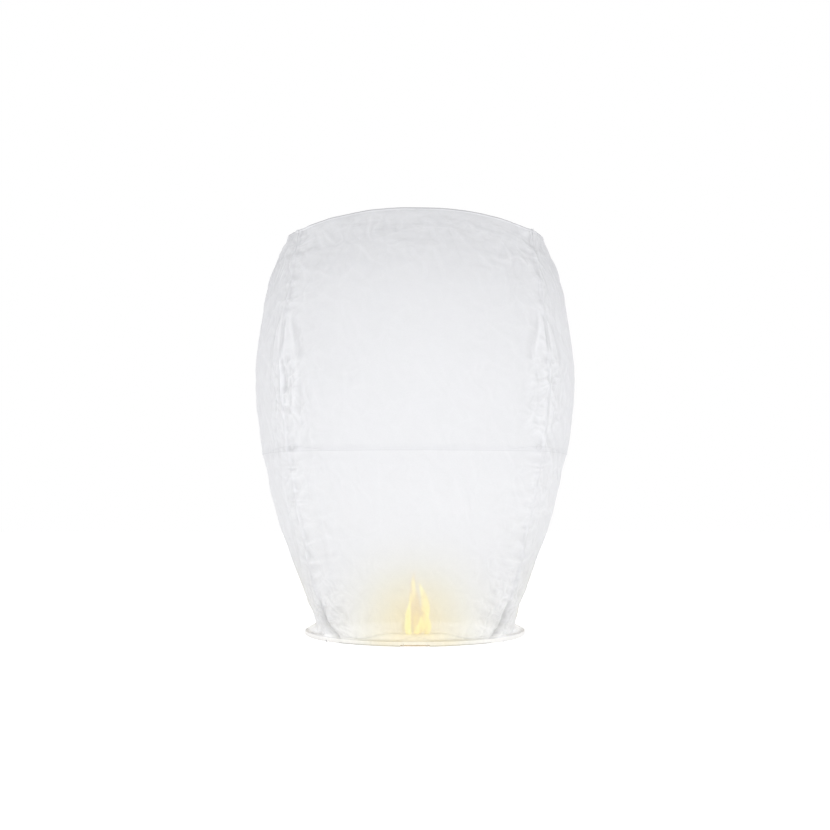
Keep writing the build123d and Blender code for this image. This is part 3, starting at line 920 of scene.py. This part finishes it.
def add_bindings(thread):
    """Thread wound tight round the hoop's lap at both of its ends."""
    for side in ("left", "right"):
        low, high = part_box(f"hoop_binding_{side}")
        centre = np.array([(low.x + high.x) / 2, (low.y + high.y) / 2, (low.z + high.z) / 2])
        angle = math.atan2(centre[1], centre[0])
        path = coil(0.0044, 0.0052, THREAD_SIZE, THREAD_TURNS)
        knot = tube(bend(np.array([(0.0026, -0.0010, 0.0010), (0.0031, 0.0002, 0.0014), (0.0030, 0.0008, 0.0003),
                                   (0.0031, 0.0016, -0.0012)]), 14), 0.00032, 8)
        points, faces = joined([tube(path, THREAD_SIZE / 2, 8), knot])
        points = spin(points + (HOOP_RADIUS, 0, 0), angle) + (0, 0, centre[2])
        piece = make_piece(f"thread_{side}", points, faces, "frame_and_walls", thread, "thread")
        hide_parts(f"hoop_binding_{side}")


# ---------------------------------------------------------------- stage
def add_world():
    world = bpy.data.worlds.new("studio")
    bpy.context.scene.world = world
    world.use_nodes = True
    tree = world.node_tree
    tree.nodes.clear()
    new, link = tree.nodes.new, tree.links.new
    place = new("ShaderNodeTexCoord")
    split = new("ShaderNodeSeparateXYZ")
    link(place.outputs["Generated"], split.inputs[0])
    height = new("ShaderNodeMapRange")
    link(split.outputs["Z"], height.inputs[0])
    height.inputs[1].default_value, height.inputs[2].default_value = -0.55, 0.95
    ramp = new("ShaderNodeValToRGB")
    link(height.outputs[0], ramp.inputs[0])
    stops = ((0.0, (1.06, 1.06, 1.05)), (0.38, (1.0, 1.0, 1.0)),
             (0.60, (0.75, 0.755, 0.775)), (1.0, (0.57, 0.58, 0.605)))
    while len(ramp.color_ramp.elements) < len(stops):
        ramp.color_ramp.elements.new(0.5)
    for element, (at, colour) in zip(ramp.color_ramp.elements, stops):
        element.position, element.color = at, (*colour, 1)
    lights = new("ShaderNodeBackground")
    link(ramp.outputs[0], lights.inputs["Color"])
    seen = new("ShaderNodeBackground")
    seen.inputs["Color"].default_value = (1, 1, 1, 1)
    ray = new("ShaderNodeLightPath")
    mix = new("ShaderNodeMixShader")
    link(ray.outputs["Is Camera Ray"], mix.inputs[0])
    link(lights.outputs[0], mix.inputs[1])
    link(seen.outputs[0], mix.inputs[2])
    out = new("ShaderNodeOutputWorld")
    link(mix.outputs[0], out.inputs["Surface"])


def add_floor():
    mesh = bpy.data.meshes.new("floor")
    half, level = 6.0, -0.0002
    corners = [(-half, -half, level), (half, -half, level), (half, half, level), (-half, half, level)]
    mesh.from_pydata(corners, [], [(0, 1, 2, 3)])
    floor = bpy.data.objects.new("floor", mesh)
    bpy.context.scene.collection.objects.link(floor)
    n = Nodes("floor")
    cloud = n.noise(n.coordinates(), 3.0, 2.0)
    tone = n.mix(cloud, (0.86, 0.86, 0.86, 1), (0.90, 0.90, 0.90, 1))
    shader = n.add("ShaderNodeBsdfPrincipled", {
        "Base Color": tone, "Roughness": 0.9, "Specular IOR Level": 0.1,
        "Emission Color": (1, 1, 1, 1), "Emission Strength": 0.55,
    }).outputs[0]
    mesh.materials.append(n.finish(shader))


def add_area(name, place, look_at, size, power, colour):
    light = bpy.data.lights.new(name, "AREA")
    light.shape, light.size, light.energy, light.color = "DISK", size, power, colour
    lamp = bpy.data.objects.new(name, light)
    lamp.location = place
    direction = np.array(look_at, float) - np.array(place, float)
    lamp.rotation_mode = "QUATERNION"
    lamp.rotation_quaternion = Vector(direction).to_track_quat("-Z", "Y")
    bpy.context.scene.collection.objects.link(lamp)
    lamp.visible_camera = False


LENS, SENSOR = 52.0, 36.0  # millimetres
CAMERA_PLACE = (0.0, -2.20, 0.249)
CAMERA_TILT = 3.86  # degrees up


def add_camera():
    data = bpy.data.cameras.new("camera")
    data.lens, data.sensor_width = LENS, SENSOR
    camera = bpy.data.objects.new("camera", data)
    camera.location = CAMERA_PLACE
    camera.rotation_euler = (math.radians(90 + CAMERA_TILT), 0.0, 0.0)
    bpy.context.scene.collection.objects.link(camera)
    bpy.context.scene.camera = camera


# ---------------------------------------------------------------- build
add_camera()
add_world()
add_floor()
add_area("key", (0.15, -2.3, 0.10), (0, 0, 0.36), 1.1, 13.0, (1.0, 0.998, 0.99))
bpy.context.scene.view_settings.view_transform = "Standard"

# the tissue's white, and the colour of the flame's glow painted on it
TISSUE = tissue_material("tissue", (0.903, 0.904, 0.914), (0.93, 0.82, 0.55))
add_gores(TISSUE)
add_top_panel(TISSUE)
# the hem's tissue: whiter and less see-through, as tissue folded double and partly as painted light from the flame;
# it also glows a little of itself as painted light
HEM_TISSUE = tissue_material("hem_tissue", (0.97, 0.965, 0.95), (0.97, 0.94, 0.82), 0.18, 0.02, 0.10)
add_hems(HEM_TISSUE)
add_flame()

BAMBOO = plain_material("bamboo", (0.60, 0.49, 0.33), (0.40, 0.31, 0.19), 60.0, (1, 1, 7), 0.5)
THREAD = plain_material("thread", (0.75, 0.70, 0.60), (0.5, 0.44, 0.35), 900.0, (1, 1, 1), 0.85)
STEEL = plain_material("steel_wire", (0.52, 0.52, 0.53), (0.34, 0.33, 0.33), 400.0, (1, 1, 1), 0.38, 1.0)
WAX = plain_material("waxed_pad", (0.86, 0.78, 0.62), (0.72, 0.60, 0.42), 260.0, (1, 1, 2), 0.45)
STRING = plain_material("wick_string", (0.80, 0.76, 0.68), (0.60, 0.54, 0.44), 800.0, (1, 1, 1), 0.9)
add_fuel_block(WAX, STRING)
add_bindings(THREAD)
FINISHES = {"bamboo": BAMBOO, "thread": THREAD, "wire": STEEL,
            "waxed_pad": WAX, "wick_string": STRING}
NODE_FINISH = {"bamboo_hoop": "bamboo", "hoop_binding": "thread", "cross_wire": "wire", "centre_tie": "wire",
               "fuel_prongs": "wire", "fuel_pads": "waxed_pad", "fuel_string": "wick_string"}
for name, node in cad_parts.items():
    for start, slot in NODE_FINISH.items():
        if name.startswith(start):
            node.data.materials.clear()
            node.data.materials.append(FINISHES[slot])
